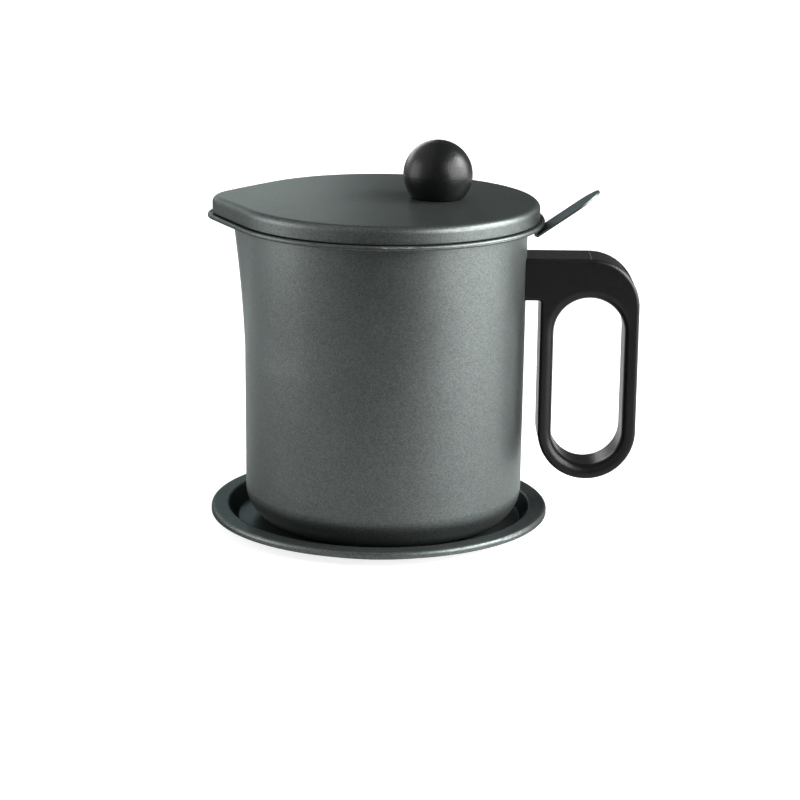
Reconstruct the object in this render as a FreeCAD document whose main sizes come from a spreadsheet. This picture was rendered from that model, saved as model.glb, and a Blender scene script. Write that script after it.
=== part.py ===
import FreeCAD, Part
import math
import os
import Sketcher
from FreeCAD import Vector

# Grease keeper: a spouted pot with a moulded handle stands in a pressed drip tray. A strainer with a
# teardrop flange hangs on the pot's rim, and the lid stands on that flange, inside its bead.
# Z is up. The origin lies on the pot's axis, on the plane that the tray rests on. The handle is at +X
# and the spout at -X. All lengths are in millimetres and all angles in degrees.

SIZES = {
    # clearances
    "lift_gap": 0.3,  # between seats that lift apart
    "fixed_gap": 0.1,  # between the curved faces of pieces fixed together
    "screw_clearance": 0.25,  # round a screw's shank
    "thread_gap": 0.05,  # between a thread's solids
    "overcut": 1.0,  # how far a cut runs past the face that it starts from
    # pot
    "pot_base_radius": 64.3,
    "pot_flare": 0.7,  # how much the radius grows from the floor to the rim
    "pot_height": 141.5,
    "pot_sheet": 0.8,
    "pot_corner": 16.0,
    "pot_curl": 1.1,  # radius of the rolled rim
    "spout_start": 78.0,  # above the pot's floor
    "spout_reach": 5.0,  # beyond the round wall, at the rim
    "spout_nose": 14.0,  # radius of the spout's nose at the rim
    "spout_blunting": 2.0,  # how many times that radius is added where the spout starts
    "spout_curve": 1.6,  # the power of the height with which the spout's reach grows
    "spout_first_reach": 0.02,  # where it starts
    # drip tray
    "tray_height": 7.4,
    "tray_sheet": 0.8,
    "tray_floor_margin": 1.9,  # the floor's edge, beyond the pot's
    "tray_wall_run": 4.2,  # how far the wall slopes outwards
    "tray_flange_width": 8.3,
    "tray_edge_drop": 3.0,  # how far the outer edge is turned down
    "tray_offset": -2.0,  # the tray's centre, from the pot's axis
    # handle
    "handle_width": 23.6,
    "handle_drop": 15.8,  # from the pot's rim down to the handle's top
    "handle_arm_depth": 19.6,
    "handle_lift": 21.5,  # from the pot's floor up to the handle's lowest point
    "handle_gap": 7.0,  # between the pot and the loop
    "loop_radius": 22.7,  # outside, at both ends
    "loop_wall": 6.4,
    "hole_rise": 1.0,  # of the finger hole's top, above the arm's foot
    "loop_bevel": 4.2,  # rounding of the finger hole
    "handle_edge": 1.6,  # rounding of the outside
    "handle_draw": 0.9,  # fillet between the arm and the loop
    # handle fixing
    "bolt_drop": 9.2,  # from the handle's top down to the bolt's axis
    "bolt_radius": 2.0,
    "bolt_head_radius": 3.4,
    "bolt_head_height": 2.4,
    "bolt_sink": 14.0,  # from the loop's outermost point in to the washer's seat
    "recess_radius": 3.9,
    "washer_sheet": 0.8,
    "washer_margin": 0.3,  # how far the washer stands out round the head
    "lug_radius": 4.0,
    "lug_length": 9.0,
    "lug_plate": 1.5,
    "lug_plate_height": 13.0,
    "lug_plate_angle": 12.0,
    "thread_engagement": 6.5,
    "cross_reach": 0.62,  # of a screw's cross recess, as a share of the head's radius
    "cross_width": 0.14,  # half the width of its arms, as such a share
    # strainer and lid together
    "set_turn": 6.5,  # how far they are turned round the pot, from the spout's line
    # strainer
    "flange_overhang": 7.75,  # beyond the pot's wall
    "flange_reach": 9.75,  # of the nose, beyond the flange's round part
    "flange_nose": 22.5,
    "flange_sheet": 0.7,
    "bead_width": 1.65,
    "bead_rise": 0.35,  # above the flange
    "bead_drop": 1.1,  # below it
    "bead_roll": 0.95,  # rounding of the bead's top, outside
    "bead_crest": 0.3,  # rounding of its top, inside
    "bead_edge": 0.6,  # rounding of its foot
    "bead_groove": 0.28,  # radius of the groove round its outside
    "dish_gap": 2.6,  # between the dish and the pot's wall
    "dish_depth": 26.0,
    "dish_taper": 3.1,  # how much the radius shrinks from the flange to the floor
    "dish_corner": 4.0,
    "dish_ledge": 8.5,  # width of the floor round the opening
    "screen_overlap": 3.0,  # of the screen on the ledge
    "screen_sheet": 0.5,
    "screen_hole": 2.6,
    "screen_border": 3.2,  # from the outer holes to the opening's edge
    "screen_rings": 4,
    "ring_width": 4.6,
    "ring_sheet": 0.8,
    # strainer tab
    "tab_width": 24.8,
    "tab_sheet": 0.9,
    "tab_gap": 2.2,  # between the leg and the pot's rolled rim
    "tab_foot": 1.5,  # from the leg towards the pot
    "tab_drop": 5.65,  # from the flange down to the fold
    "tab_reach": 24.6,  # of the tip, beyond the flange
    "tab_rise": 35.6,
    "tab_bend": 0.5,
    "tab_end": 0.49,  # radius of its end, as a share of its width
    # lid
    "lid_gap": 0.6,  # between the skirt and the strainer's bead
    "lid_height": 7.7,  # at its edge
    "lid_crown": 1.8,  # how much higher its middle is
    "lid_hem": 0.6,  # rounding of the skirt's foot, outside
    "lid_sheet": 0.8,
    "lid_edge": 3.0,
    # knob
    "knob_radius": 15.85,
    "knob_centre": 10.65,  # above the lid
    "knob_place": 23.4,  # from the lid's centre towards the tab
    "knob_foot_edge": 0.5,
    "seam_depth": 0.15,  # of the mould's seam round the ball, and of the one across the handle's top
    "insert_radius": 4.0,
    "insert_length": 10.0,
    "knob_screw_radius": 2.0,
    "knob_screw_head": 3.6,
    "knob_screw_head_height": 2.2,
    "thread_relief": 2.0,  # from a screw's tip to the end of its insert
}

# Heights that several pieces share, as expressions on the sheet.
POT_FLOOR = "Sizes.tray_sheet"
POT_TOP = f"({POT_FLOOR} + Sizes.pot_height)"
WALL_TOP = f"({POT_TOP} - Sizes.pot_curl)"
SPOUT_START = f"({POT_FLOOR} + Sizes.spout_start)"
FLANGE_FOOT = f"({POT_TOP} + Sizes.lift_gap)"
FLANGE_TOP = f"({FLANGE_FOOT} + Sizes.flange_sheet)"
BEAD_TOP = f"({FLANGE_TOP} + Sizes.bead_rise)"
BEAD_FOOT = f"({FLANGE_FOOT} - Sizes.bead_drop)"
DISH_FLOOR = f"({FLANGE_TOP} - Sizes.dish_depth)"
DISH_LEDGE = f"({DISH_FLOOR} + Sizes.flange_sheet)"
SCREEN_TOP = f"({DISH_LEDGE} + Sizes.screen_sheet)"
LID_FOOT = f"({FLANGE_TOP} + Sizes.lift_gap)"
LID_TOP = f"({LID_FOOT} + Sizes.lid_height)"
HANDLE_TOP = f"({POT_TOP} - Sizes.handle_drop)"
ARM_FOOT = f"({HANDLE_TOP} - Sizes.handle_arm_depth)"
BOLT_HEIGHT = f"({HANDLE_TOP} - Sizes.bolt_drop)"


def wall_radius(height):
    """The pot's outer radius at a height: the wall opens evenly towards the rim."""
    return f"(Sizes.pot_base_radius + Sizes.pot_flare * ({height} - {POT_FLOOR}) / Sizes.pot_height)"


# Distances from the pot's axis that several pieces share.
CURL_OUT = "(Sizes.pot_curl - Sizes.pot_sheet + Sizes.fixed_gap)"
CURL_CENTRE = f"({wall_radius(WALL_TOP)} + {CURL_OUT})"
LOOP_CENTRE = "(Sizes.pot_base_radius + Sizes.handle_gap + Sizes.loop_radius)"
BOLT_SEAT = f"({LOOP_CENTRE} + Sizes.loop_radius - Sizes.bolt_sink)"
LUG_END = f"({wall_radius(BOLT_HEIGHT)} + Sizes.fixed_gap + Sizes.lug_length)"
DISH_RIM = f"({wall_radius(POT_TOP)} - Sizes.pot_sheet - Sizes.dish_gap)"
DISH_BASE = f"({DISH_RIM} - Sizes.dish_taper)"
DISH_OPENING = f"({DISH_BASE} - Sizes.dish_ledge)"
SCREEN_EDGE = f"({DISH_OPENING} + Sizes.screen_overlap)"
FLANGE_RADIUS = f"({wall_radius(POT_TOP)} + Sizes.flange_overhang)"
FLANGE_EDGE = (FLANGE_RADIUS, f"({FLANGE_RADIUS} + Sizes.flange_reach)", "Sizes.flange_nose")

# The lid's crown is part of a large ball, its peak midway between the nose and the opposite edge.
CROWN_PLACE = "(-Sizes.flange_reach / 2)"
CROWN_REACH = f"({FLANGE_RADIUS} - Sizes.bead_width - Sizes.lid_gap - {CROWN_PLACE})"
CROWN_RADIUS = f"(({CROWN_REACH} ^ 2 + Sizes.lid_crown ^ 2) / (2 * Sizes.lid_crown))"
CROWN_CENTRE = f"({LID_TOP} + Sizes.lid_crown - {CROWN_RADIUS})"
KNOB_LEAN = f"asin((Sizes.knob_place - {CROWN_PLACE}) / {CROWN_RADIUS})"
KNOB_SEAT = f"({CROWN_CENTRE} + {CROWN_RADIUS} * cos({KNOB_LEAN}))"
WASHER_DEPTH = "(Sizes.lid_sheet + Sizes.fixed_gap)"


def inside_of(edge, inset):
    """The radius, tip and nose of the teardrop that lies evenly inside another."""
    return [f"({size} - {inset})" for size in edge]


SAME_PLACE = 1e-4  # two lengths nearer than this are taken as equal

doc = FreeCAD.newDocument("GreaseKeeper")
sheet = doc.addObject("Spreadsheet::Sheet", "Sizes")
pieces = []


def fill_sheet():
    """Writes one row per driving dimension and gives its cell the dimension's name."""
    for row, (name, size) in enumerate(SIZES.items(), start=1):
        sheet.set(f"A{row}", name)
        sheet.set(f"B{row}", str(size))
        sheet.setAlias(f"B{row}", name)
    doc.recompute()


def value(expression):
    """The present value of an expression on the sheet."""
    result = sheet.evalExpression(expression)
    return float(getattr(result, "Value", result))


# ---- building blocks ----


def new_body(label):
    body = doc.addObject("PartDesign::Body", label)
    body.Label = label
    pieces.append(body)
    return body


def new_sketch(body, name, role, offset="0", rise="0", shift="0"):
    """A sketch on one of the body's origin planes, moved by offset along the plane's normal, by
    rise along the sketch's own vertical axis and by shift along its horizontal one."""
    sketch = body.newObject("Sketcher::SketchObject", name)
    plane = next(f for f in body.Origin.OriginFeatures if f.Role == role)
    sketch.AttachmentSupport = [(plane, "")]
    sketch.MapMode = "FlatFace"
    sketch.setExpression(".AttachmentOffset.Base.z", offset)
    sketch.setExpression(".AttachmentOffset.Base.y", rise)
    sketch.setExpression(".AttachmentOffset.Base.x", shift)
    return sketch


def hold(sketch, kind, element, point, expression):
    """Ties a point's distance from the sketch's origin to an expression."""
    number = sketch.addConstraint(
        Sketcher.Constraint(kind, -1, 1, element, point, value(expression))
    )
    sketch.setExpression(f"Constraints[{number}]", expression)


def hold_radius(sketch, element, expression):
    number = sketch.addConstraint(Sketcher.Constraint("Radius", element, value(expression)))
    sketch.setExpression(f"Constraints[{number}]", expression)


def circle(sketch, x, y, radius):
    centre = Vector(value(x), value(y), 0)
    element = sketch.addGeometry(Part.Circle(centre, Vector(0, 0, 1), value(radius)))
    hold(sketch, "DistanceX", element, 3, x)
    hold(sketch, "DistanceY", element, 3, y)
    hold_radius(sketch, element, radius)


def arc_between(before, corner, after, radius):
    """The arc of that radius that rounds the corner between the directions of its two neighbours."""
    back = (before - corner).normalize()
    ahead = (after - corner).normalize()
    half = back.getAngle(ahead) / 2
    start = corner + back * (radius / math.tan(half))
    end = corner + ahead * (radius / math.tan(half))
    centre = corner + (back + ahead).normalize() * (radius / math.sin(half))
    middle = centre + (corner - centre).normalize() * radius
    return start, middle, end


def outline(sketch, corners):
    """A closed outline through corners (x, y) or, where a corner is rounded, (x, y, radius)."""
    spots = [Vector(value(c[0]), value(c[1]), 0) for c in corners]
    count = len(corners)
    starts = list(spots)
    ends = list(spots)
    arcs = {}
    for i, corner in enumerate(corners):
        if len(corner) == 3:
            start, middle, end = arc_between(
                spots[i - 1], spots[i], spots[(i + 1) % count], value(corner[2])
            )
            turn = (spots[i] - spots[i - 1]).cross(spots[(i + 1) % count] - spots[i])
            first, last = (start, end) if turn.z > 0 else (end, start)
            arcs[i] = sketch.addGeometry(Part.Arc(first, middle, last))
            ends[i] = start
            starts[i] = end
    points = []
    for spot, corner in zip(spots, corners):
        point = sketch.addGeometry(Part.Point(spot), True)
        hold(sketch, "DistanceX", point, 1, corner[0])
        hold(sketch, "DistanceY", point, 1, corner[1])
        points.append(point)
    lines = []
    for i in range(count):
        lines.append(sketch.addGeometry(Part.LineSegment(starts[i], ends[(i + 1) % count])))
    for i in range(count):
        join_corner(sketch, lines[i - 1], points[i], lines[i], arcs.get(i))
        if i in arcs:
            hold_radius(sketch, arcs[i], corners[i][2])


def join_corner(sketch, line_in, point, line_out, arc):
    """Joins two lines at a corner point, or by an arc that touches both."""
    if arc is None:
        sketch.addConstraint(Sketcher.Constraint("Coincident", line_in, 2, point, 1))
        sketch.addConstraint(Sketcher.Constraint("Coincident", line_out, 1, point, 1))
        return
    sketch.addConstraint(Sketcher.Constraint("PointOnObject", point, 1, line_in))
    sketch.addConstraint(Sketcher.Constraint("PointOnObject", point, 1, line_out))
    line_end = sketch.Geometry[line_in].EndPoint
    at_start = line_end.distanceToPoint(sketch.Geometry[arc].StartPoint) < SAME_PLACE
    near, far = (1, 2) if at_start else (2, 1)
    sketch.addConstraint(Sketcher.Constraint("Tangent", line_in, 2, arc, near))
    sketch.addConstraint(Sketcher.Constraint("Tangent", line_out, 1, arc, far))


def teardrop(sketch, radius, tip, nose):
    """A circle drawn out to a nose at x = -tip by two lines that touch both arcs."""
    big, far, small = value(radius), value(tip), value(nose)
    reach = far - small
    lean = math.acos((big - small) / reach)
    across, along = math.sin(lean), math.cos(lean)
    high = Vector(-big * along, big * across, 0)
    low = Vector(-big * along, -big * across, 0)
    nose_high = Vector(-reach - small * along, small * across, 0)
    nose_low = Vector(-reach - small * along, -small * across, 0)
    bowl = sketch.addGeometry(Part.Arc(low, Vector(big, 0, 0), high))
    upper = sketch.addGeometry(Part.LineSegment(high, nose_high))
    front = sketch.addGeometry(Part.Arc(nose_high, Vector(-far, 0, 0), nose_low))
    lower = sketch.addGeometry(Part.LineSegment(nose_low, low))
    sketch.addConstraint(Sketcher.Constraint("Coincident", bowl, 3, -1, 1))
    hold_radius(sketch, bowl, radius)
    hold_radius(sketch, front, nose)
    hold(sketch, "DistanceX", front, 3, f"{nose} - {tip}")
    hold(sketch, "DistanceY", front, 3, "0")
    for first, end, second, start in (
        (bowl, 2, upper, 1),
        (upper, 2, front, 1),
        (front, 2, lower, 1),
        (lower, 2, bowl, 1),
    ):
        sketch.addConstraint(Sketcher.Constraint("Tangent", first, end, second, start))


def stadium(sketch, x, low, high, radius):
    """An upright slot: half circles round (x, low) and (x, high), joined by two lines."""
    mid, bottom, top, reach = value(x), value(low), value(high), value(radius)
    across = Vector(reach, 0, 0)
    foot = sketch.addGeometry(
        Part.Arc(
            Vector(mid, bottom, 0) - across,
            Vector(mid, bottom - reach, 0),
            Vector(mid, bottom, 0) + across,
        )
    )
    right = sketch.addGeometry(
        Part.LineSegment(Vector(mid, bottom, 0) + across, Vector(mid, top, 0) + across)
    )
    crown = sketch.addGeometry(
        Part.Arc(
            Vector(mid, top, 0) + across,
            Vector(mid, top + reach, 0),
            Vector(mid, top, 0) - across,
        )
    )
    left = sketch.addGeometry(
        Part.LineSegment(Vector(mid, top, 0) - across, Vector(mid, bottom, 0) - across)
    )
    for arc, height in ((foot, low), (crown, high)):
        hold(sketch, "DistanceX", arc, 3, x)
        hold(sketch, "DistanceY", arc, 3, height)
    hold_radius(sketch, foot, radius)
    for first, second in ((foot, right), (right, crown), (crown, left), (left, foot)):
        sketch.addConstraint(Sketcher.Constraint("Tangent", first, 2, second, 1))


def add_feature(body, kind, name, profile, **settings):
    """Adds a profile feature to the body. Settings that are text are expressions."""
    feature = body.newObject(kind, name)
    feature.Profile = profile
    for prop, setting in settings.items():
        if isinstance(setting, str):
            feature.setExpression(prop, setting)
        else:
            setattr(feature, prop, setting)
    profile.Visibility = False
    return feature


def add_turned(body, name, corners, kind="PartDesign::Revolution", **settings):
    """Turns an outline in the XZ plane about the body's Z axis."""
    sketch = new_sketch(body, f"{name}_section", "XZ_Plane")
    outline(sketch, corners)
    return turn(body, kind, name, sketch, **settings)


def turn(body, kind, name, sketch, axis="V_Axis", **settings):
    """Turns a sketch about one of its own axes, all the way round unless an angle is given."""
    settings.setdefault("Angle", 360.0)
    feature = add_feature(body, kind, name, sketch, **settings)
    feature.ReferenceAxis = (sketch, [axis])
    return feature


def add_turned_on_bolt(body, name, corners, kind="PartDesign::Revolution"):
    """Turns an outline of (x, radius) corners about the handle bolt's axis."""
    sketch = new_sketch(body, f"{name}_section", "XZ_Plane", rise=BOLT_HEIGHT)
    outline(sketch, corners)
    return turn(body, kind, name, sketch, axis="H_Axis")


def add_pad(body, name, sketch, length, **settings):
    return add_feature(body, "PartDesign::Pad", name, sketch, Length=length, **settings)


def cut(body, feature_maker):
    """Runs a step that removes material, and makes sure that it did."""
    doc.recompute()
    before = body.Shape.Volume
    feature = feature_maker()
    doc.recompute()
    if not body.Shape.Volume < before - SAME_PLACE:
        raise RuntimeError(f"{feature.Label} removes nothing from {body.Label}")
    return feature


def add_pocket(body, name, sketch, length, **settings):
    return cut(
        body,
        lambda: add_feature(
            body, "PartDesign::Pocket", name, sketch, Length=length, **settings
        ),
    )


def edge_names(feature, wanted):
    """The names of a feature's edges for which wanted(edge) is true."""
    doc.recompute()
    names = [f"Edge{i}" for i, e in enumerate(feature.Shape.Edges, start=1) if wanted(e)]
    if not names:
        raise RuntimeError(f"no edge of {feature.Label} is the one to round")
    return names


def add_fillet(body, name, base, wanted, radius):
    fillet = body.newObject("PartDesign::Fillet", name)
    fillet.Base = (base, edge_names(base, wanted))
    fillet.setExpression("Radius", radius)
    return fillet


def set_down(body, place="placement(vector(0; 0; 0); rotation(vector(0; 0; 1); 0))"):
    """Turns a piece of the strainer or lid round the pot's axis, from its place on the +X side."""
    turned = "placement(vector(0; 0; 0); rotation(vector(0; 0; 1); -Sizes.set_turn))"
    body.setExpression("Placement", f"{turned} * {place}")


def set_on_crown(body):
    """Stands a piece that was modelled upright on Z = 0 on the lid's crown, at the knob's place."""
    leaning = f"rotation(vector(0; 1; 0); {KNOB_LEAN})"
    set_down(body, f"placement(vector(Sizes.knob_place; 0; {KNOB_SEAT}); {leaning})")


def lies_at(edge, height):
    """True for an edge that lies wholly in the plane Z = height."""
    box = edge.BoundBox
    return abs(box.ZMin - height) < SAME_PLACE and abs(box.ZMax - height) < SAME_PLACE


def rim_edge(level, reach):
    """A test for the edge in the plane Z = level that reaches to X = reach and no further."""
    height, limit = value(level), value(reach)
    return lambda e: lies_at(e, height) and abs(e.BoundBox.XMax - limit) < SAME_PLACE


def lies_on_side(edge, half_width):
    """True for an edge that lies wholly in one of the planes Y = half_width and Y = -half_width."""
    box = edge.BoundBox
    return box.YLength < SAME_PLACE and abs(abs(box.YMin) - half_width) < SAME_PLACE


# ---- the pieces ----


def make_tray():
    """A pressed dish: a flat floor, a sloping wall, a flat flange and an edge turned down."""
    body = new_body("tray")
    top = "Sizes.tray_height"
    gauge = "Sizes.tray_sheet"
    floor_edge = "(Sizes.pot_base_radius + Sizes.tray_floor_margin)"
    well_edge = f"({floor_edge} + Sizes.tray_wall_run)"
    rim = f"({well_edge} + Sizes.tray_flange_width)"
    lean = f"atan(({top} - {gauge}) / Sizes.tray_wall_run)"
    shift = f"{gauge} * tan({lean} / 2)"
    bend = f"2 * {gauge}"
    add_turned(
        body,
        "pressing",
        [
            ("0", "0"),
            (f"{floor_edge} + {shift}", "0", bend),
            (f"{well_edge} + {shift}", f"{top} - {gauge}"),
            (f"{rim} - {gauge}", f"{top} - {gauge}"),
            (f"{rim} - {gauge}", f"{top} - Sizes.tray_edge_drop"),
            (rim, f"{top} - Sizes.tray_edge_drop"),
            (rim, top, bend),
            (well_edge, top, bend),
            (floor_edge, gauge, gauge),
            ("0", gauge),
        ],
    )
    body.setExpression(".Placement.Base.x", "Sizes.tray_offset")


def spout_sections(body, name, inset):
    """Plan sections of the spouted part of the wall, from the round wall up to the rim."""
    sections = []
    for share in (0, 0.5, 1):
        height = f"({SPOUT_START} + {share} * ({WALL_TOP} - {SPOUT_START}))"
        radius = f"({wall_radius(height)} - {inset})"
        growth = "(Sizes.spout_reach - Sizes.spout_first_reach)"
        reach = f"(Sizes.spout_first_reach + {share} ^ Sizes.spout_curve * {growth})"
        nose = f"((1 + {1 - share} * Sizes.spout_blunting) * Sizes.spout_nose - {inset})"
        sketch = new_sketch(body, f"{name}_{len(sections)}", "XY_Plane", height)
        teardrop(sketch, radius, f"({radius} + {reach})", nose)
        sections.append(sketch)
    return sections


def add_loft(body, kind, name, sections):
    feature = body.newObject(kind, name)
    feature.Profile = sections[0]
    feature.Sections = sections[1:]
    return feature


def make_pot():
    """A deep-drawn pot: round below, drawn out to a pouring spout above, with a rolled rim."""
    body = new_body("pot_body")
    base = wall_radius(POT_FLOOR)
    side = wall_radius(SPOUT_START)
    gauge = "Sizes.pot_sheet"
    inner_floor = f"{POT_FLOOR} + {gauge}"
    add_turned(
        body,
        "lower_wall",
        [
            ("0", POT_FLOOR),
            (base, POT_FLOOR, "Sizes.pot_corner"),
            (side, SPOUT_START),
            ("0", SPOUT_START),
        ],
    )
    add_loft(body, "PartDesign::AdditiveLoft", "spout", spout_sections(body, "outside", "0"))
    cut(
        body,
        lambda: add_turned(
            body,
            "lower_hollow",
            [
                ("0", inner_floor),
                (f"{base} - {gauge}", inner_floor, f"Sizes.pot_corner - {gauge}"),
                (f"{side} - {gauge}", SPOUT_START),
                ("0", SPOUT_START),
            ],
            kind="PartDesign::Groove",
        ),
    )
    inside = spout_sections(body, "inside", gauge)
    cut(
        body,
        lambda: add_loft(body, "PartDesign::SubtractiveLoft", "spout_hollow", inside),
    )
    add_rim(body)


def add_rim(body):
    """The rim's roll runs round the teardrop, its inner side level with the wall's inner face."""
    path = new_sketch(body, "rim_path", "XY_Plane", WALL_TOP)
    tip = f"({CURL_CENTRE} + Sizes.spout_reach)"
    teardrop(path, CURL_CENTRE, tip, f"(Sizes.spout_nose + {CURL_OUT})")
    section = new_sketch(body, "rim_section", "XZ_Plane")
    circle(section, CURL_CENTRE, WALL_TOP, "Sizes.pot_curl")
    roll = body.newObject("PartDesign::AdditivePipe", "rim_roll")
    roll.Profile = section
    roll.Spine = path
    return roll


def make_handle():
    """A moulded loop with a stadium finger hole, joined to the pot by an arm at its top."""
    body = new_body("handle")
    low = f"({POT_FLOOR} + Sizes.handle_lift + Sizes.loop_radius)"
    high = f"({HANDLE_TOP} - Sizes.loop_radius)"
    hole_radius = "(Sizes.loop_radius - Sizes.loop_wall)"
    loop = new_sketch(body, "loop_outline", "XZ_Plane")
    stadium(loop, LOOP_CENTRE, low, high, "Sizes.loop_radius")
    add_pad(body, "loop", loop, "Sizes.handle_width", Midplane=True)
    arm = new_sketch(body, "arm_outline", "XZ_Plane")
    root = "Sizes.pot_base_radius / 2"
    inner_side = f"{LOOP_CENTRE} - Sizes.loop_radius"
    junction_foot = f"min({high}; {ARM_FOOT} - 2 * Sizes.handle_draw)"
    outline(
        arm,
        [
            (root, ARM_FOOT),
            (inner_side, ARM_FOOT, "Sizes.handle_draw"),
            (inner_side, junction_foot),
            (LOOP_CENTRE, junction_foot),
            (LOOP_CENTRE, HANDLE_TOP),
            (root, HANDLE_TOP),
        ],
    )
    joined = add_pad(body, "arm", arm, "Sizes.handle_width", Midplane=True)
    half = SIZES["handle_width"] / 2
    edge = add_fillet(
        body,
        "outside_edges",
        joined,
        lambda e: lies_on_side(e, half) and e.BoundBox.XMax > value(root) + SAME_PLACE,
        "Sizes.handle_edge",
    )
    hole = new_sketch(body, "finger_hole_outline", "XZ_Plane")
    crown = f"({ARM_FOOT} + Sizes.hole_rise)"
    stadium(hole, LOOP_CENTRE, low, f"({crown} - {hole_radius})", hole_radius)
    pocket = add_pocket(body, "finger_hole", hole, "2 * Sizes.handle_width", Midplane=True)
    reach = value(hole_radius) + SAME_PLACE
    middle = value(LOOP_CENTRE)
    add_fillet(
        body,
        "finger_bevel",
        pocket,
        lambda e: lies_on_side(e, half)
        and abs(e.BoundBox.XMin - middle) < reach
        and abs(e.BoundBox.XMax - middle) < reach
        and e.BoundBox.ZMin > value(low) - reach
        and e.BoundBox.ZMax < value(crown) + SAME_PLACE,
        "Sizes.loop_bevel",
    )
    mark = new_sketch(body, "mould_line_section", "XZ_Plane")
    circle(mark, LOOP_CENTRE, HANDLE_TOP, "Sizes.seam_depth")
    add_pocket(body, "mould_line", mark, "2 * Sizes.handle_width", Midplane=True)
    fit_handle_to_pot(body)


def wall_band(low, high, inner, outer):
    """Corners of a band along the pot's wall, from inner to outer beyond the wall's face."""
    return [
        (f"{wall_radius(low)} + {inner}", low),
        (f"{wall_radius(low)} + {outer}", low),
        (f"{wall_radius(high)} + {outer}", high),
        (f"{wall_radius(high)} + {inner}", high),
    ]


def fit_handle_to_pot(body):
    """Shapes the arm's end to the wall and the lug, and bores it for the bolt."""
    low = f"({ARM_FOOT} - 2 * Sizes.handle_edge)"
    high = f"({HANDLE_TOP} + 2 * Sizes.handle_edge)"
    cut(
        body,
        lambda: add_turned(
            body,
            "wall_hollow",
            [
                ("0", low),
                (f"{wall_radius(low)} + Sizes.fixed_gap", low),
                (f"{wall_radius(high)} + Sizes.fixed_gap", high),
                ("0", high),
            ],
            kind="PartDesign::Groove",
        ),
    )
    margin = "(Sizes.lug_plate_height / 2 + Sizes.screw_clearance)"
    cut(
        body,
        lambda: add_turned(
            body,
            "plate_recess",
            wall_band(
                f"({BOLT_HEIGHT} - {margin})",
                f"({BOLT_HEIGHT} + {margin})",
                "0",
                "(Sizes.fixed_gap + Sizes.lug_plate + Sizes.screw_clearance)",
            ),
            kind="PartDesign::Groove",
            Angle="Sizes.lug_plate_angle + 1",
            Midplane=True,
        ),
    )
    lug_bore = "Sizes.lug_radius + Sizes.screw_clearance"
    bolt_bore = "Sizes.bolt_radius + Sizes.screw_clearance"
    lug_room = f"({LUG_END} + Sizes.screw_clearance)"
    outside = f"({LOOP_CENTRE} + Sizes.loop_radius + Sizes.overcut)"
    inside = "(Sizes.pot_base_radius - Sizes.overcut)"
    cut(
        body,
        lambda: add_turned_on_bolt(
            body,
            "bolt_bore",
            [
                (inside, "0"),
                (inside, lug_bore),
                (lug_room, lug_bore),
                (lug_room, bolt_bore),
                (BOLT_SEAT, bolt_bore),
                (BOLT_SEAT, "Sizes.recess_radius"),
                (outside, "Sizes.recess_radius"),
                (outside, "0"),
            ],
            kind="PartDesign::Groove",
        ),
    )


def make_lug():
    """A saddle plate welded to the wall, with a threaded boss that the handle's bolt enters."""
    body = new_body("handle_lug")
    half = "Sizes.lug_plate_height / 2"
    add_turned(
        body,
        "saddle",
        wall_band(
            f"({BOLT_HEIGHT} - {half})",
            f"({BOLT_HEIGHT} + {half})",
            "Sizes.fixed_gap",
            "(Sizes.fixed_gap + Sizes.lug_plate)",
        ),
        Angle="Sizes.lug_plate_angle",
        Midplane=True,
    )
    root = f"({LUG_END} - Sizes.lug_length + Sizes.lug_plate / 2)"
    add_turned_on_bolt(
        body,
        "boss",
        [
            (root, "0"),
            (LUG_END, "0"),
            (LUG_END, "Sizes.lug_radius"),
            (root, "Sizes.lug_radius"),
        ],
    )
    floor = f"({LUG_END} - Sizes.thread_engagement - Sizes.screw_clearance)"
    mouth = f"({LUG_END} + Sizes.overcut)"
    thread = "Sizes.bolt_radius + Sizes.thread_gap"
    cut(
        body,
        lambda: add_turned_on_bolt(
            body,
            "thread",
            [
                (floor, "0"),
                (mouth, "0"),
                (mouth, thread),
                (floor, thread),
            ],
            kind="PartDesign::Groove",
        ),
    )


def cross(sketch, head_radius):
    """The outline of the cross recess in a screw's head, round the sketch's origin."""
    arm = f"({head_radius} * Sizes.cross_reach)"
    half = f"({head_radius} * Sizes.cross_width)"
    outline(
        sketch,
        [
            (arm, f"-{half}"),
            (arm, half),
            (half, half),
            (half, arm),
            (f"-{half}", arm),
            (f"-{half}", half),
            (f"-{arm}", half),
            (f"-{arm}", f"-{half}"),
            (f"-{half}", f"-{half}"),
            (f"-{half}", f"-{arm}"),
            (half, f"-{arm}"),
            (half, f"-{half}"),
        ],
    )


def make_handle_screw():
    """The long pan-head bolt that draws the handle against the pot."""
    body = new_body("handle_screw")
    tip = f"({LUG_END} - Sizes.thread_engagement)"
    head = f"({BOLT_SEAT} + Sizes.washer_sheet)"
    crown = f"({head} + Sizes.bolt_head_height)"
    add_turned_on_bolt(
        body,
        "shank_and_head",
        [
            (tip, "0"),
            (crown, "0"),
            (crown, "Sizes.bolt_head_radius", "Sizes.bolt_head_height / 2"),
            (head, "Sizes.bolt_head_radius"),
            (head, "Sizes.bolt_radius"),
            (tip, "Sizes.bolt_radius", "Sizes.bolt_radius / 4"),
        ],
    )
    recess = new_sketch(body, "recess_outline", "YZ_Plane", crown, rise=BOLT_HEIGHT)
    cross(recess, "Sizes.bolt_head_radius")
    add_pocket(body, "recess", recess, "Sizes.bolt_head_height / 2")


def make_handle_washer():
    body = new_body("handle_washer")
    inner = "Sizes.bolt_radius + Sizes.screw_clearance"
    outer = "Sizes.bolt_head_radius + Sizes.washer_margin"
    face = f"{BOLT_SEAT} + Sizes.washer_sheet"
    add_turned_on_bolt(
        body,
        "disc",
        [
            (BOLT_SEAT, inner),
            (face, inner),
            (face, outer),
            (BOLT_SEAT, outer),
        ],
    )


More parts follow.
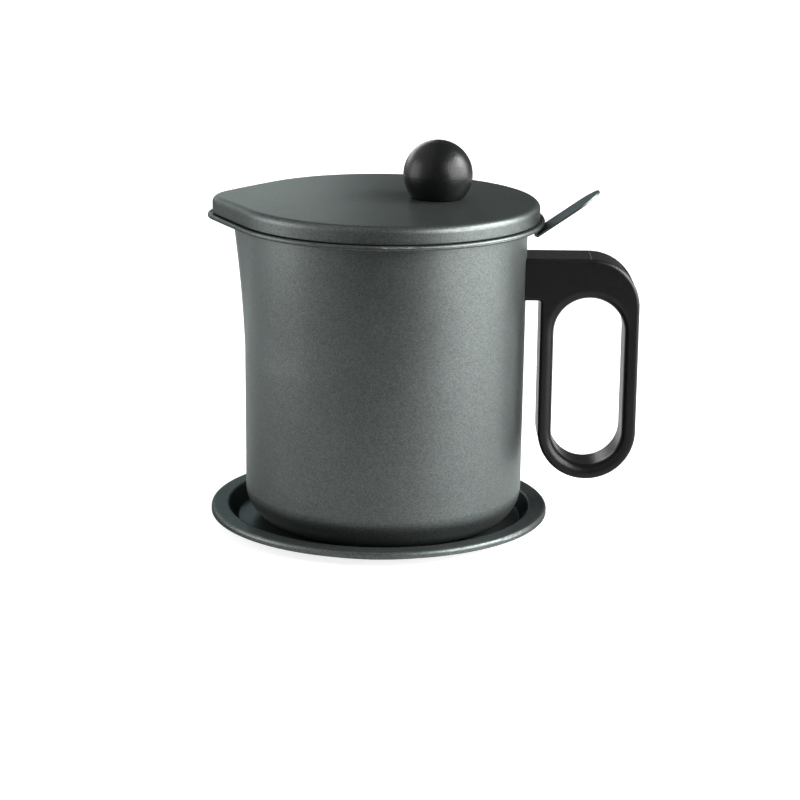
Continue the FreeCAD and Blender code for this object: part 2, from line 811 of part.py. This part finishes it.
def make_strainer_pan():
    """A pressed dish that hangs in the pot from a teardrop flange with a rolled bead for an edge."""
    body = new_body("strainer_pan")
    height = f"({BEAD_TOP} - {BEAD_FOOT})"
    inner_edge = inside_of(FLANGE_EDGE, "Sizes.bead_width")
    blank = new_sketch(body, "flange_outline", "XY_Plane", BEAD_FOOT)
    teardrop(blank, *FLANGE_EDGE)
    add_pad(body, "flange", blank, height)
    seat = new_sketch(body, "seat_outline", "XY_Plane", BEAD_TOP)
    teardrop(seat, *inner_edge)
    add_pocket(body, "seat", seat, "Sizes.bead_rise")
    under = new_sketch(body, "underside_outline", "XY_Plane", BEAD_FOOT)
    teardrop(under, *inner_edge)
    hollow = add_pocket(body, "underside", under, "Sizes.bead_drop", Reversed=True)
    round_bead(body, hollow)
    add_bead_groove(body)
    opening = new_sketch(body, "opening_outline", "XY_Plane", BEAD_TOP)
    circle(opening, "0", "0", f"{DISH_RIM} + Sizes.flange_sheet")
    add_pocket(body, "opening", opening, height)
    gauge = "Sizes.flange_sheet"
    overlap = f"({DISH_RIM} + 3 * {gauge})"
    add_turned(
        body,
        "dish",
        [
            (overlap, FLANGE_FOOT),
            (DISH_RIM, FLANGE_FOOT, gauge),
            (DISH_BASE, DISH_FLOOR, "Sizes.dish_corner"),
            (DISH_OPENING, DISH_FLOOR),
            (DISH_OPENING, DISH_LEDGE),
            (f"{DISH_BASE} - {gauge}", DISH_LEDGE, f"Sizes.dish_corner - {gauge}"),
            (f"{DISH_RIM} - {gauge}", FLANGE_TOP, f"2 * {gauge}"),
            (overlap, FLANGE_TOP),
        ],
    )
    set_down(body)


def round_bead(body, base):
    """Rounds the bead's edges: its top on both sides, and its foot outside."""
    inside = f"({FLANGE_RADIUS} - Sizes.bead_width)"
    for name, level, reach, radius in (
        ("bead_roll", BEAD_TOP, FLANGE_RADIUS, "Sizes.bead_roll"),
        ("bead_crest", BEAD_TOP, inside, "Sizes.bead_crest"),
        ("bead_edge", BEAD_FOOT, FLANGE_RADIUS, "Sizes.bead_edge"),
    ):
        base = add_fillet(body, name, base, rim_edge(level, reach), radius)


def add_bead_groove(body):
    """The groove round the bead's outside, between its upper and its lower roll."""
    level = f"({BEAD_FOOT} + Sizes.bead_edge + Sizes.bead_groove)"
    path = new_sketch(body, "groove_path", "XY_Plane", level)
    teardrop(path, *FLANGE_EDGE)
    section = new_sketch(body, "groove_section", "XZ_Plane")
    circle(section, FLANGE_RADIUS, level, "Sizes.bead_groove")

    def sweep():
        groove = body.newObject("PartDesign::SubtractivePipe", "bead_groove")
        groove.Profile = section
        groove.Spine = path
        return groove

    cut(body, sweep)


def make_strainer_screen():
    """A perforated disc that lies on the dish's ledge, with its holes in rings round the centre."""
    body = new_body("strainer_screen")
    blank = new_sketch(body, "disc_outline", "XY_Plane", DISH_LEDGE)
    circle(blank, "0", "0", SCREEN_EDGE)
    add_pad(body, "disc", blank, "Sizes.screen_sheet")
    middle = new_sketch(body, "middle_hole_outline", "XY_Plane", SCREEN_TOP)
    circle(middle, "0", "0", "Sizes.screen_hole")
    add_pocket(body, "middle_hole", middle, "2 * Sizes.screen_sheet")
    outermost = f"({DISH_OPENING} - Sizes.screen_border - Sizes.screen_hole)"
    for ring in range(1, SIZES["screen_rings"] + 1):
        first = new_sketch(body, f"hole_outline_{ring}", "XY_Plane", SCREEN_TOP)
        away = f"{ring} * {outermost} / Sizes.screen_rings"
        circle(first, away, "0", "Sizes.screen_hole")
        hole = add_pocket(body, f"hole_{ring}", first, "2 * Sizes.screen_sheet")
        repeat = body.newObject("PartDesign::PolarPattern", f"hole_ring_{ring}")
        repeat.Originals = [hole]
        repeat.Axis = (first, ["N_Axis"])
        repeat.Angle = 360.0
        repeat.Occurrences = 6 * ring
        body.Tip = repeat
    set_down(body)


def make_screen_ring():
    """A stepped ring that holds the screen's edge down on the dish's ledge."""
    body = new_body("screen_ring")
    edge = f"{SCREEN_EDGE} + Sizes.fixed_gap"
    outer = f"{DISH_OPENING} + Sizes.ring_width"
    top = f"{SCREEN_TOP} + Sizes.ring_sheet"
    add_turned(
        body,
        "ring",
        [
            (DISH_OPENING, SCREEN_TOP),
            (edge, SCREEN_TOP),
            (edge, DISH_LEDGE),
            (outer, DISH_LEDGE),
            (outer, top, "Sizes.ring_sheet / 2"),
            (DISH_OPENING, top),
        ],
    )
    set_down(body)


def make_strainer_tab():
    """A lifting strip: a foot under the flange, a leg down outside the pot's rim, and a tongue
    that rises past the bead to a rounded end."""
    body = new_body("strainer_tab")
    gauge = "Sizes.tab_sheet"
    leg = f"({CURL_CENTRE} + Sizes.pot_curl + Sizes.tab_gap)"
    tip = f"({FLANGE_RADIUS} + Sizes.tab_reach)"
    rise = "(Sizes.tab_rise * 1deg)"
    fold = f"({FLANGE_FOOT} - Sizes.tab_drop)"
    end = f"({fold} + ({tip} - {leg}) * tan({rise}))"
    side = new_sketch(body, "side_outline", "XZ_Plane")
    outline(
        side,
        [
            (f"{leg} - Sizes.tab_foot", FLANGE_FOOT),
            (f"{leg} - Sizes.tab_foot", f"{FLANGE_FOOT} - {gauge}"),
            (leg, f"{FLANGE_FOOT} - {gauge}", "Sizes.tab_bend"),
            (leg, fold, f"Sizes.tab_bend + {gauge}"),
            (tip, end),
            (f"{tip} - {gauge} * sin({rise})", f"{end} + {gauge} * cos({rise})"),
            (
                f"{leg} + {gauge}",
                f"{fold} + {gauge} * tan({rise}) + {gauge} / cos({rise})",
                "Sizes.tab_bend",
            ),
            (f"{leg} + {gauge}", FLANGE_FOOT, f"Sizes.tab_bend + {gauge}"),
        ],
    )
    strip = add_pad(body, "strip", side, "Sizes.tab_width", Midplane=True)
    near_tip = value(tip) - 2 * SIZES["tab_sheet"]
    add_fillet(
        body,
        "rounded_end",
        strip,
        lambda e: e.BoundBox.YLength < SAME_PLACE
        and abs(e.Length - SIZES["tab_sheet"]) < SAME_PLACE
        and e.CenterOfMass.x > near_tip,
        "Sizes.tab_width * Sizes.tab_end",
    )
    set_down(body)


def make_lid():
    """A pressed lid with a low crown, its edge turned down into a skirt that follows the teardrop."""
    body = new_body("lid_shell")
    edge = inside_of(FLANGE_EDGE, "(Sizes.bead_width + Sizes.lid_gap)")
    blank = new_sketch(body, "lid_outline", "XY_Plane", LID_FOOT)
    teardrop(blank, *edge)
    add_pad(body, "blank", blank, "Sizes.lid_height + 2 * Sizes.lid_crown")
    crowned = cut(body, lambda: add_crown(body))
    top = value(LID_TOP) - 2 * SIZES["lid_sheet"]
    rounded = add_fillet(
        body, "top_edge", crowned, lambda e: e.BoundBox.ZMin > top, "Sizes.lid_edge"
    )
    shell = cut(body, lambda: add_shell(body, rounded, value(LID_FOOT), "Sizes.lid_sheet"))
    add_fillet(body, "hem", shell, rim_edge(LID_FOOT, edge[0]), "Sizes.lid_hem")
    hole = new_sketch(body, "screw_hole_outline", "XY_Plane", f"{LID_TOP} + Sizes.lid_crown")
    circle(hole, "Sizes.knob_place", "0", "Sizes.knob_screw_radius + Sizes.screw_clearance")
    add_pocket(body, "screw_hole", hole, "Sizes.lid_crown + 2 * Sizes.lid_sheet")
    set_down(body)


def add_crown(body):
    """Takes away all that stands above the crown."""
    section = new_sketch(body, "crown_section", "XZ_Plane", shift=CROWN_PLACE)
    top = f"({LID_TOP} + 3 * Sizes.lid_crown)"
    reach = f"({CROWN_REACH} + Sizes.lid_edge)"
    radius, centre = value(CROWN_RADIUS), value(CROWN_CENTRE)
    spread = math.asin(value(reach) / radius)
    peak, middle, end = (
        Vector(radius * math.sin(angle), centre + radius * math.cos(angle), 0)
        for angle in (0, spread / 2, spread)
    )
    crown = section.addGeometry(Part.Arc(end, middle, peak))
    corners = [peak, Vector(0, value(top), 0), Vector(value(reach), value(top), 0), end]
    sides = [section.addGeometry(Part.LineSegment(a, b)) for a, b in zip(corners, corners[1:])]
    loop = [crown, *sides, crown]
    for first, second in zip(loop, loop[1:]):
        section.addConstraint(Sketcher.Constraint("Coincident", first, 2, second, 1))
    section.addConstraint(Sketcher.Constraint("Vertical", sides[0]))
    section.addConstraint(Sketcher.Constraint("Horizontal", sides[1]))
    section.addConstraint(Sketcher.Constraint("Vertical", sides[2]))
    hold(section, "DistanceX", crown, 3, "0")
    hold(section, "DistanceY", crown, 3, CROWN_CENTRE)
    hold_radius(section, crown, CROWN_RADIUS)
    hold(section, "DistanceX", sides[0], 2, "0")
    hold(section, "DistanceY", sides[0], 2, top)
    hold(section, "DistanceX", sides[1], 2, reach)
    return turn(body, "PartDesign::Groove", "crown", section)


def add_shell(body, solid, foot, wall):
    """Hollows the body out from its flat face at Z = foot, which leaves a wall inside all others."""
    faces = [
        f"Face{i}"
        for i, face in enumerate(solid.Shape.Faces, start=1)
        if lies_at(face, foot)
    ]
    shell = body.newObject("PartDesign::Thickness", "shell")
    shell.Base = (solid, faces)
    shell.Reversed = True
    shell.setExpression("Value", wall)
    return shell


def make_knob():
    """A ball with a flat foot on the lid, bored for its threaded insert."""
    body = new_body("knob")
    foot = "sqrt(Sizes.knob_radius ^ 2 - Sizes.knob_centre ^ 2)"
    profile = new_sketch(body, "ball_outline", "XZ_Plane")
    middle = Vector(0, SIZES["knob_centre"], 0)
    radius = SIZES["knob_radius"]
    rim = Vector(value(foot), 0, 0)
    crown = middle + Vector(0, radius, 0)
    ball = profile.addGeometry(Part.Arc(rim, middle + Vector(radius, 0, 0), crown))
    spine = profile.addGeometry(Part.LineSegment(crown, Vector(0, 0, 0)))
    base = profile.addGeometry(Part.LineSegment(Vector(0, 0, 0), rim))
    for first, second in ((ball, spine), (spine, base), (base, ball)):
        profile.addConstraint(Sketcher.Constraint("Coincident", first, 2, second, 1))
    profile.addConstraint(Sketcher.Constraint("Vertical", spine))
    profile.addConstraint(Sketcher.Constraint("Horizontal", base))
    hold(profile, "DistanceX", ball, 3, "0")
    hold(profile, "DistanceY", ball, 3, "Sizes.knob_centre")
    hold_radius(profile, ball, "Sizes.knob_radius")
    profile.addConstraint(Sketcher.Constraint("Coincident", spine, 2, -1, 1))
    turned = turn(body, "PartDesign::Revolution", "ball", profile)
    add_fillet(body, "foot_edge", turned, lambda e: lies_at(e, 0), "Sizes.knob_foot_edge")
    seam = new_sketch(body, "seam_section", "XZ_Plane")
    circle(seam, "Sizes.knob_radius", "Sizes.knob_centre", "Sizes.seam_depth")
    cut(body, lambda: turn(body, "PartDesign::Groove", "mould_seam", seam))
    bore = "Sizes.insert_radius + Sizes.thread_gap"
    depth = "Sizes.insert_length + Sizes.screw_clearance"
    cut(
        body,
        lambda: add_turned(
            body,
            "insert_bore",
            [("0", "0"), (bore, "0"), (bore, depth), ("0", depth)],
            kind="PartDesign::Groove",
        ),
    )
    set_on_crown(body)


def make_knob_insert():
    """The threaded bush moulded into the knob's foot."""
    body = new_body("knob_insert")
    bore = "Sizes.knob_screw_radius + Sizes.thread_gap"
    add_turned(
        body,
        "bush",
        [
            (bore, "0"),
            ("Sizes.insert_radius", "0"),
            ("Sizes.insert_radius", "Sizes.insert_length"),
            (bore, "Sizes.insert_length"),
        ],
    )
    set_on_crown(body)


def make_knob_screw():
    """The pan-head screw that enters the insert from under the lid."""
    body = new_body("knob_screw")
    head = f"(-{WASHER_DEPTH} - Sizes.washer_sheet)"
    crown = f"({head} - Sizes.knob_screw_head_height)"
    tip = "(Sizes.insert_length - Sizes.thread_relief)"
    add_turned(
        body,
        "shank_and_head",
        [
            ("0", crown),
            ("Sizes.knob_screw_head", crown, "Sizes.knob_screw_head_height / 2"),
            ("Sizes.knob_screw_head", head),
            ("Sizes.knob_screw_radius", head),
            ("Sizes.knob_screw_radius", tip, "Sizes.knob_screw_radius / 4"),
            ("0", tip),
        ],
    )
    recess = new_sketch(body, "recess_outline", "XY_Plane", crown)
    cross(recess, "Sizes.knob_screw_head")
    add_pocket(body, "recess", recess, "Sizes.knob_screw_head_height / 2", Reversed=True)
    set_on_crown(body)


def make_knob_washer():
    body = new_body("knob_washer")
    inner = "Sizes.knob_screw_radius + Sizes.screw_clearance"
    outer = "Sizes.knob_screw_head + Sizes.washer_margin"
    top = f"-{WASHER_DEPTH}"
    face = f"{top} - Sizes.washer_sheet"
    add_turned(
        body,
        "disc",
        [(inner, face), (outer, face), (outer, top), (inner, top)],
    )
    set_on_crown(body)


def check_and_write():
    """Stops at a failed object, then writes one file per piece."""
    doc.recompute()
    failed = [o.Label for o in doc.Objects if {"Invalid", "Error"} & set(o.State)]
    failed += [p.Label for p in pieces if p.Shape.isNull() or not p.Shape.isValid()]
    if failed:
        raise RuntimeError(f"these objects did not build: {failed}")
    os.makedirs("parts", exist_ok=True)
    for piece in pieces:
        piece.Shape.exportStep(f"parts/{piece.Label}.step")
        print(piece.Label, round(piece.Shape.Volume, 1), len(piece.Shape.Solids))


fill_sheet()
make_tray()
make_pot()
make_handle()
make_lug()
make_handle_screw()
make_handle_washer()
make_strainer_pan()
make_strainer_screen()
make_screen_ring()
make_strainer_tab()
make_lid()
make_knob()
make_knob_insert()
make_knob_screw()
make_knob_washer()
check_and_write()
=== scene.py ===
import math
import bpy
from mathutils import Matrix, Vector

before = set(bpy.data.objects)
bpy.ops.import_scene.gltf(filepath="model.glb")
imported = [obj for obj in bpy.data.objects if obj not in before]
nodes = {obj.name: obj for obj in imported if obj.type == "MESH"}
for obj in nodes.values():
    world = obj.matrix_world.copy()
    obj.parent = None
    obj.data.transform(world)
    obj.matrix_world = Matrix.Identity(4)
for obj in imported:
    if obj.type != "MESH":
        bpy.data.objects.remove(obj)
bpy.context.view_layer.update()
scene = bpy.context.scene
scene.view_settings.view_transform = "Standard"


# small helpers for node trees


def addNode(tree, kind, **values):
    # each value sets the input of that name, or else the node's own setting
    node = tree.nodes.new("ShaderNode" + kind)
    for name, value in values.items():
        if name in node.inputs:
            node.inputs[name].default_value = value
        else:
            setattr(node, name, value)
    return node


def feed(tree, source, socket):
    # the source is a plain number or another node's output
    if isinstance(source, float):
        socket.default_value = source
    else:
        tree.links.new(source, socket)


def startMaterial(name, **settings):
    material = bpy.data.materials.new(name)
    material.use_nodes = True
    tree = material.node_tree
    shader = tree.nodes["Principled BSDF"]
    for socket, setting in settings.items():
        shader.inputs[socket.replace("_", " ")].default_value = setting
    return material, tree, shader


def objectPoints(tree, centre=(0, 0, 0), stretch=(1, 1, 1)):
    points = addNode(tree, "TexCoord")
    mapping = addNode(tree, "Mapping", vector_type="TEXTURE", Location=centre, Scale=stretch)
    tree.links.new(points.outputs["Object"], mapping.inputs["Vector"])
    return mapping.outputs["Vector"]


def addNoise(tree, points, scale, detail=2.0):
    noise = addNode(tree, "TexNoise", Scale=scale, Detail=detail)
    tree.links.new(points, noise.inputs["Vector"])
    return noise.outputs["Fac"]


def spread(tree, source, goal, reach=(0.3, 0.7)):
    # noise seldom leaves 0.3 to 0.7, so that stretch is spread over the goal
    ranger = addNode(tree, "MapRange")
    names = ("From Min", "From Max", "To Min", "To Max")
    for name, number in zip(names, (*reach, *goal)):
        ranger.inputs[name].default_value = number
    tree.links.new(source, ranger.inputs["Value"])
    return ranger.outputs["Result"]


def join(tree, operation, first, second):
    sums = addNode(tree, "Math", operation=operation)
    feed(tree, first, sums.inputs[0])
    feed(tree, second, sums.inputs[1])
    return sums.outputs["Value"]


def tint(tree, colour, strength):
    # one colour, made lighter and darker by a number that lies round 1
    scaled = addNode(tree, "VectorMath", operation="SCALE")
    scaled.inputs[0].default_value = colour
    tree.links.new(strength, scaled.inputs["Scale"])
    return scaled.outputs["Vector"]


def addBump(tree, shader, height, distance):
    bump = addNode(tree, "Bump", Strength=1.0, Distance=distance)
    tree.links.new(height, bump.inputs["Height"])
    tree.links.new(bump.outputs["Normal"], shader.inputs["Normal"])


# materials: lengths in metres, scales in cells per metre

coating = {
    "colour": (0.083, 0.092, 0.090),
    "metallic": 0.85,
    "flakeScale": 2200,
    "flakes": (0.75, 1.25),  # darkest and brightest flake
    "cloudScale": 45,
    "cloudDetail": 4,
    "clouds": (0.95, 1.05),
    "roughness": (0.36, 0.45),
    "bumpHeight": 0.000012,
    # how much of the mirroring at a grazing angle stays; the lid and tray copies of the one
    # coating mirror less, which paints shade on the lid, strainer, tray and tab
    "glintAndPaintedShade": {
        "pot": (0.92, 1.0, 0.98, 1),
        "lid": (0.40, 0.44, 0.43, 1),
        "tray": (0.26, 0.29, 0.30, 1),
    },
}


def makeCoating(kind):
    material, tree, shader = startMaterial(
        kind + "Coating", Metallic=coating["metallic"], Specular_Tint=coating["glintAndPaintedShade"][kind]
    )
    points = objectPoints(tree)
    cells = addNode(tree, "TexVoronoi", Scale=coating["flakeScale"])
    tree.links.new(points, cells.inputs["Vector"])
    chance = addNode(tree, "SeparateColor")
    tree.links.new(cells.outputs["Color"], chance.inputs["Color"])
    flakes = spread(tree, chance.outputs["Red"], coating["flakes"], (0, 1))
    clouds = addNoise(tree, points, coating["cloudScale"], coating["cloudDetail"])
    strength = join(tree, "MULTIPLY", flakes, spread(tree, clouds, coating["clouds"]))
    tree.links.new(tint(tree, coating["colour"], strength), shader.inputs["Base Color"])
    grain = addNoise(tree, points, coating["flakeScale"])
    tree.links.new(spread(tree, grain, coating["roughness"]), shader.inputs["Roughness"])
    addBump(tree, shader, grain, coating["bumpHeight"])
    return material


plastic = {
    "colour": (0.0032, 0.0038, 0.0034),
    "shine": 0.22,  # 0.5 is the usual plastic
    "cloudScale": 30,
    "cloudDetail": 3,
    "clouds": (0.85, 1.15),
    "roughScale": 500,
    "roughness": (0.29, 0.37),
    "grainScale": 1300,
    "grainDetail": 1,
    "grainHeight": 0.00008,
}


def makePlastic():
    material, tree, shader = startMaterial("blackPlastic", Specular_IOR_Level=plastic["shine"])
    points = objectPoints(tree)
    clouds = addNoise(tree, points, plastic["cloudScale"], plastic["cloudDetail"])
    colour = tint(tree, plastic["colour"], spread(tree, clouds, plastic["clouds"]))
    tree.links.new(colour, shader.inputs["Base Color"])
    rough = addNoise(tree, points, plastic["roughScale"])
    tree.links.new(spread(tree, rough, plastic["roughness"]), shader.inputs["Roughness"])
    grain = addNoise(tree, points, plastic["grainScale"], plastic["grainDetail"])
    addBump(tree, shader, grain, plastic["grainHeight"])
    return material


brushing = {
    "stretch": (12, 1, 12),
    "scale": 3000,
    "detail": 3,
    "contrast": (0.9, 1.1),
    "height": 0.00001,
}
metals = {
    "bareSteel": {"colour": (0.56, 0.56, 0.55), "roughness": (0.24, 0.36)},
    "darkSteel": {"colour": (0.05, 0.05, 0.05), "roughness": (0.35, 0.5)},
    "brass": {"colour": (0.62, 0.42, 0.16), "roughness": (0.25, 0.35)},
}


def makeMetal(name):
    metal = metals[name]
    material, tree, shader = startMaterial(name, Metallic=1.0)
    points = objectPoints(tree, stretch=brushing["stretch"])
    lines = addNoise(tree, points, brushing["scale"], brushing["detail"])
    colour = tint(tree, metal["colour"], spread(tree, lines, brushing["contrast"]))
    tree.links.new(colour, shader.inputs["Base Color"])
    tree.links.new(spread(tree, lines, metal["roughness"]), shader.inputs["Roughness"])
    addBump(tree, shader, lines, brushing["height"])
    return material


def dress(material, *names):
    for name in names:
        materials = nodes[name].data.materials
        materials.clear()
        materials.append(material)


dress(makeCoating("pot"), "pot_body")
# the lid and tray coatings are shaded copies of the pot's coating, with the same colour and
# grain but less mirroring at grazing angles: painted shade
dress(makeCoating("lid"), "strainer_pan", "lid_shell")
dress(makeCoating("tray"), "tray", "strainer_tab")
dress(makePlastic(), "handle", "knob")
dress(
    makeMetal("bareSteel"),
    "strainer_screen", "screen_ring", "handle_lug", "knob_screw", "knob_washer",
)
dress(makeMetal("darkSteel"), "handle_screw", "handle_washer")
dress(makeMetal("brass"), "knob_insert")
print("materials on", len(nodes), "pieces")


# floor, light and camera


def choose(tree, choice, no, yes):
    mix = addNode(tree, "Mix")
    feed(tree, no, mix.inputs["A"])
    feed(tree, yes, mix.inputs["B"])
    tree.links.new(choice, mix.inputs["Factor"])
    return mix.outputs["Result"]


def seenBy(tree, eye, mirror, rest):
    # one brightness for the camera, one for mirrors and glass, one for all other light
    rays = addNode(tree, "LightPath").outputs
    mirrored = join(tree, "MAXIMUM", rays["Is Glossy Ray"], rays["Is Transmission Ray"])
    return choose(tree, rays["Is Camera Ray"], choose(tree, mirrored, rest, mirror), eye)


floor = {
    "size": 3.0,
    "front": -0.34,
    "colour": (0.45, 0.45, 0.45, 1),
    "roughness": 0.8,
    "lift": (0.8, 1.0),  # near the object and far from it
    "far": (0.4, 1.2),
    "shine": 0.1,
}


def makeFloor():
    bpy.ops.object.select_all(action="DESELECT")
    middle = floor["front"] + floor["size"] / 2
    bpy.ops.mesh.primitive_plane_add(size=floor["size"], location=(0, middle, 0))
    plane = bpy.context.active_object
    plane.name = "floor"
    material, tree, shader = startMaterial(
        "floorPaper", Roughness=floor["roughness"], Base_Color=floor["colour"]
    )
    away = addNode(tree, "VectorMath", operation="LENGTH")
    tree.links.new(objectPoints(tree, centre=(0, -middle, 0)), away.inputs[0])
    lift = spread(tree, away.outputs["Value"], floor["lift"], floor["far"])
    glow = addNode(tree, "Emission")
    tree.links.new(seenBy(tree, lift, floor["shine"], 0.0), glow.inputs["Strength"])
    lifted = addNode(tree, "AddShader")
    tree.links.new(shader.outputs["BSDF"], lifted.inputs[0])
    tree.links.new(glow.outputs["Emission"], lifted.inputs[1])
    tree.links.new(lifted.outputs["Shader"], tree.nodes["Material Output"].inputs["Surface"])
    plane.data.materials.append(material)


lamps = {
    "right": {"place": (1.0, -0.25, 0.50), "size": (1.6, 1.0), "watts": 59.0},
    "high": {"place": (0.85, 0.05, 0.66), "size": (0.32, 0.32), "watts": 7.0},
    "left": {"place": (-0.95, -0.06, 0.30), "size": (0.7, 0.8), "watts": 7.4},
    "rim": {"place": (-0.40, 0.85, 0.40), "size": (0.8, 0.25), "watts": 2.5},
}
target = Vector((0, 0, 0.09))


def makeLamps():
    for name, lamp in lamps.items():
        light = bpy.data.lights.new(name, "AREA")
        light.shape = "RECTANGLE"
        light.size, light.size_y = lamp["size"]
        light.energy = lamp["watts"]
        holder = bpy.data.objects.new(name, light)
        holder.location = lamp["place"]
        aim = target - holder.location
        holder.rotation_euler = aim.to_track_quat("-Z", "Y").to_euler()
        scene.collection.objects.link(holder)


room = {
    "towards": (-0.93, 0.0, 0.37),  # the bright side
    "reach": (0.3, 0.8),
    "glow": (0.12, 1.08),
    "share": 0.5,  # of that glow, for light that isn't mirrored
}


def makeRoom():
    world = bpy.data.worlds.new("studio")
    scene.world = world
    world.use_nodes = True
    tree = world.node_tree
    background = tree.nodes["Background"]
    background.inputs["Color"].default_value = (1, 1, 1, 1)
    direction = addNode(tree, "TexCoord")
    along = addNode(tree, "VectorMath", operation="DOT_PRODUCT")
    along.inputs[1].default_value = room["towards"]
    tree.links.new(direction.outputs["Generated"], along.inputs[0])
    glow = spread(tree, along.outputs["Value"], room["glow"], room["reach"])
    share = join(tree, "MULTIPLY", glow, room["share"])
    tree.links.new(seenBy(tree, 1.0, glow, share), background.inputs["Strength"])


camera = {
    "lens": 111.745,
    "distance": 1.12065,
    "height": 0.35222,
    "yaw": 0.0066,
    "pitch": 0.2580,
    "roll": 0.0120,
    "sight": 50,
}


def makeCamera():
    data = bpy.data.cameras.new("camera")
    data.lens = camera["lens"]
    data.clip_end = camera["sight"]
    holder = bpy.data.objects.new("camera", data)
    place = Matrix.Translation((0, -camera["distance"], camera["height"]))
    yaw = Matrix.Rotation(-camera["yaw"], 4, "Z")
    pitch = Matrix.Rotation(math.pi / 2 - camera["pitch"], 4, "X")
    roll = Matrix.Rotation(camera["roll"], 4, "Z")
    holder.matrix_world = place @ yaw @ pitch @ roll
    scene.collection.objects.link(holder)
    scene.camera = holder


makeFloor()
makeLamps()
makeRoom()
makeCamera()
print("studio ready")
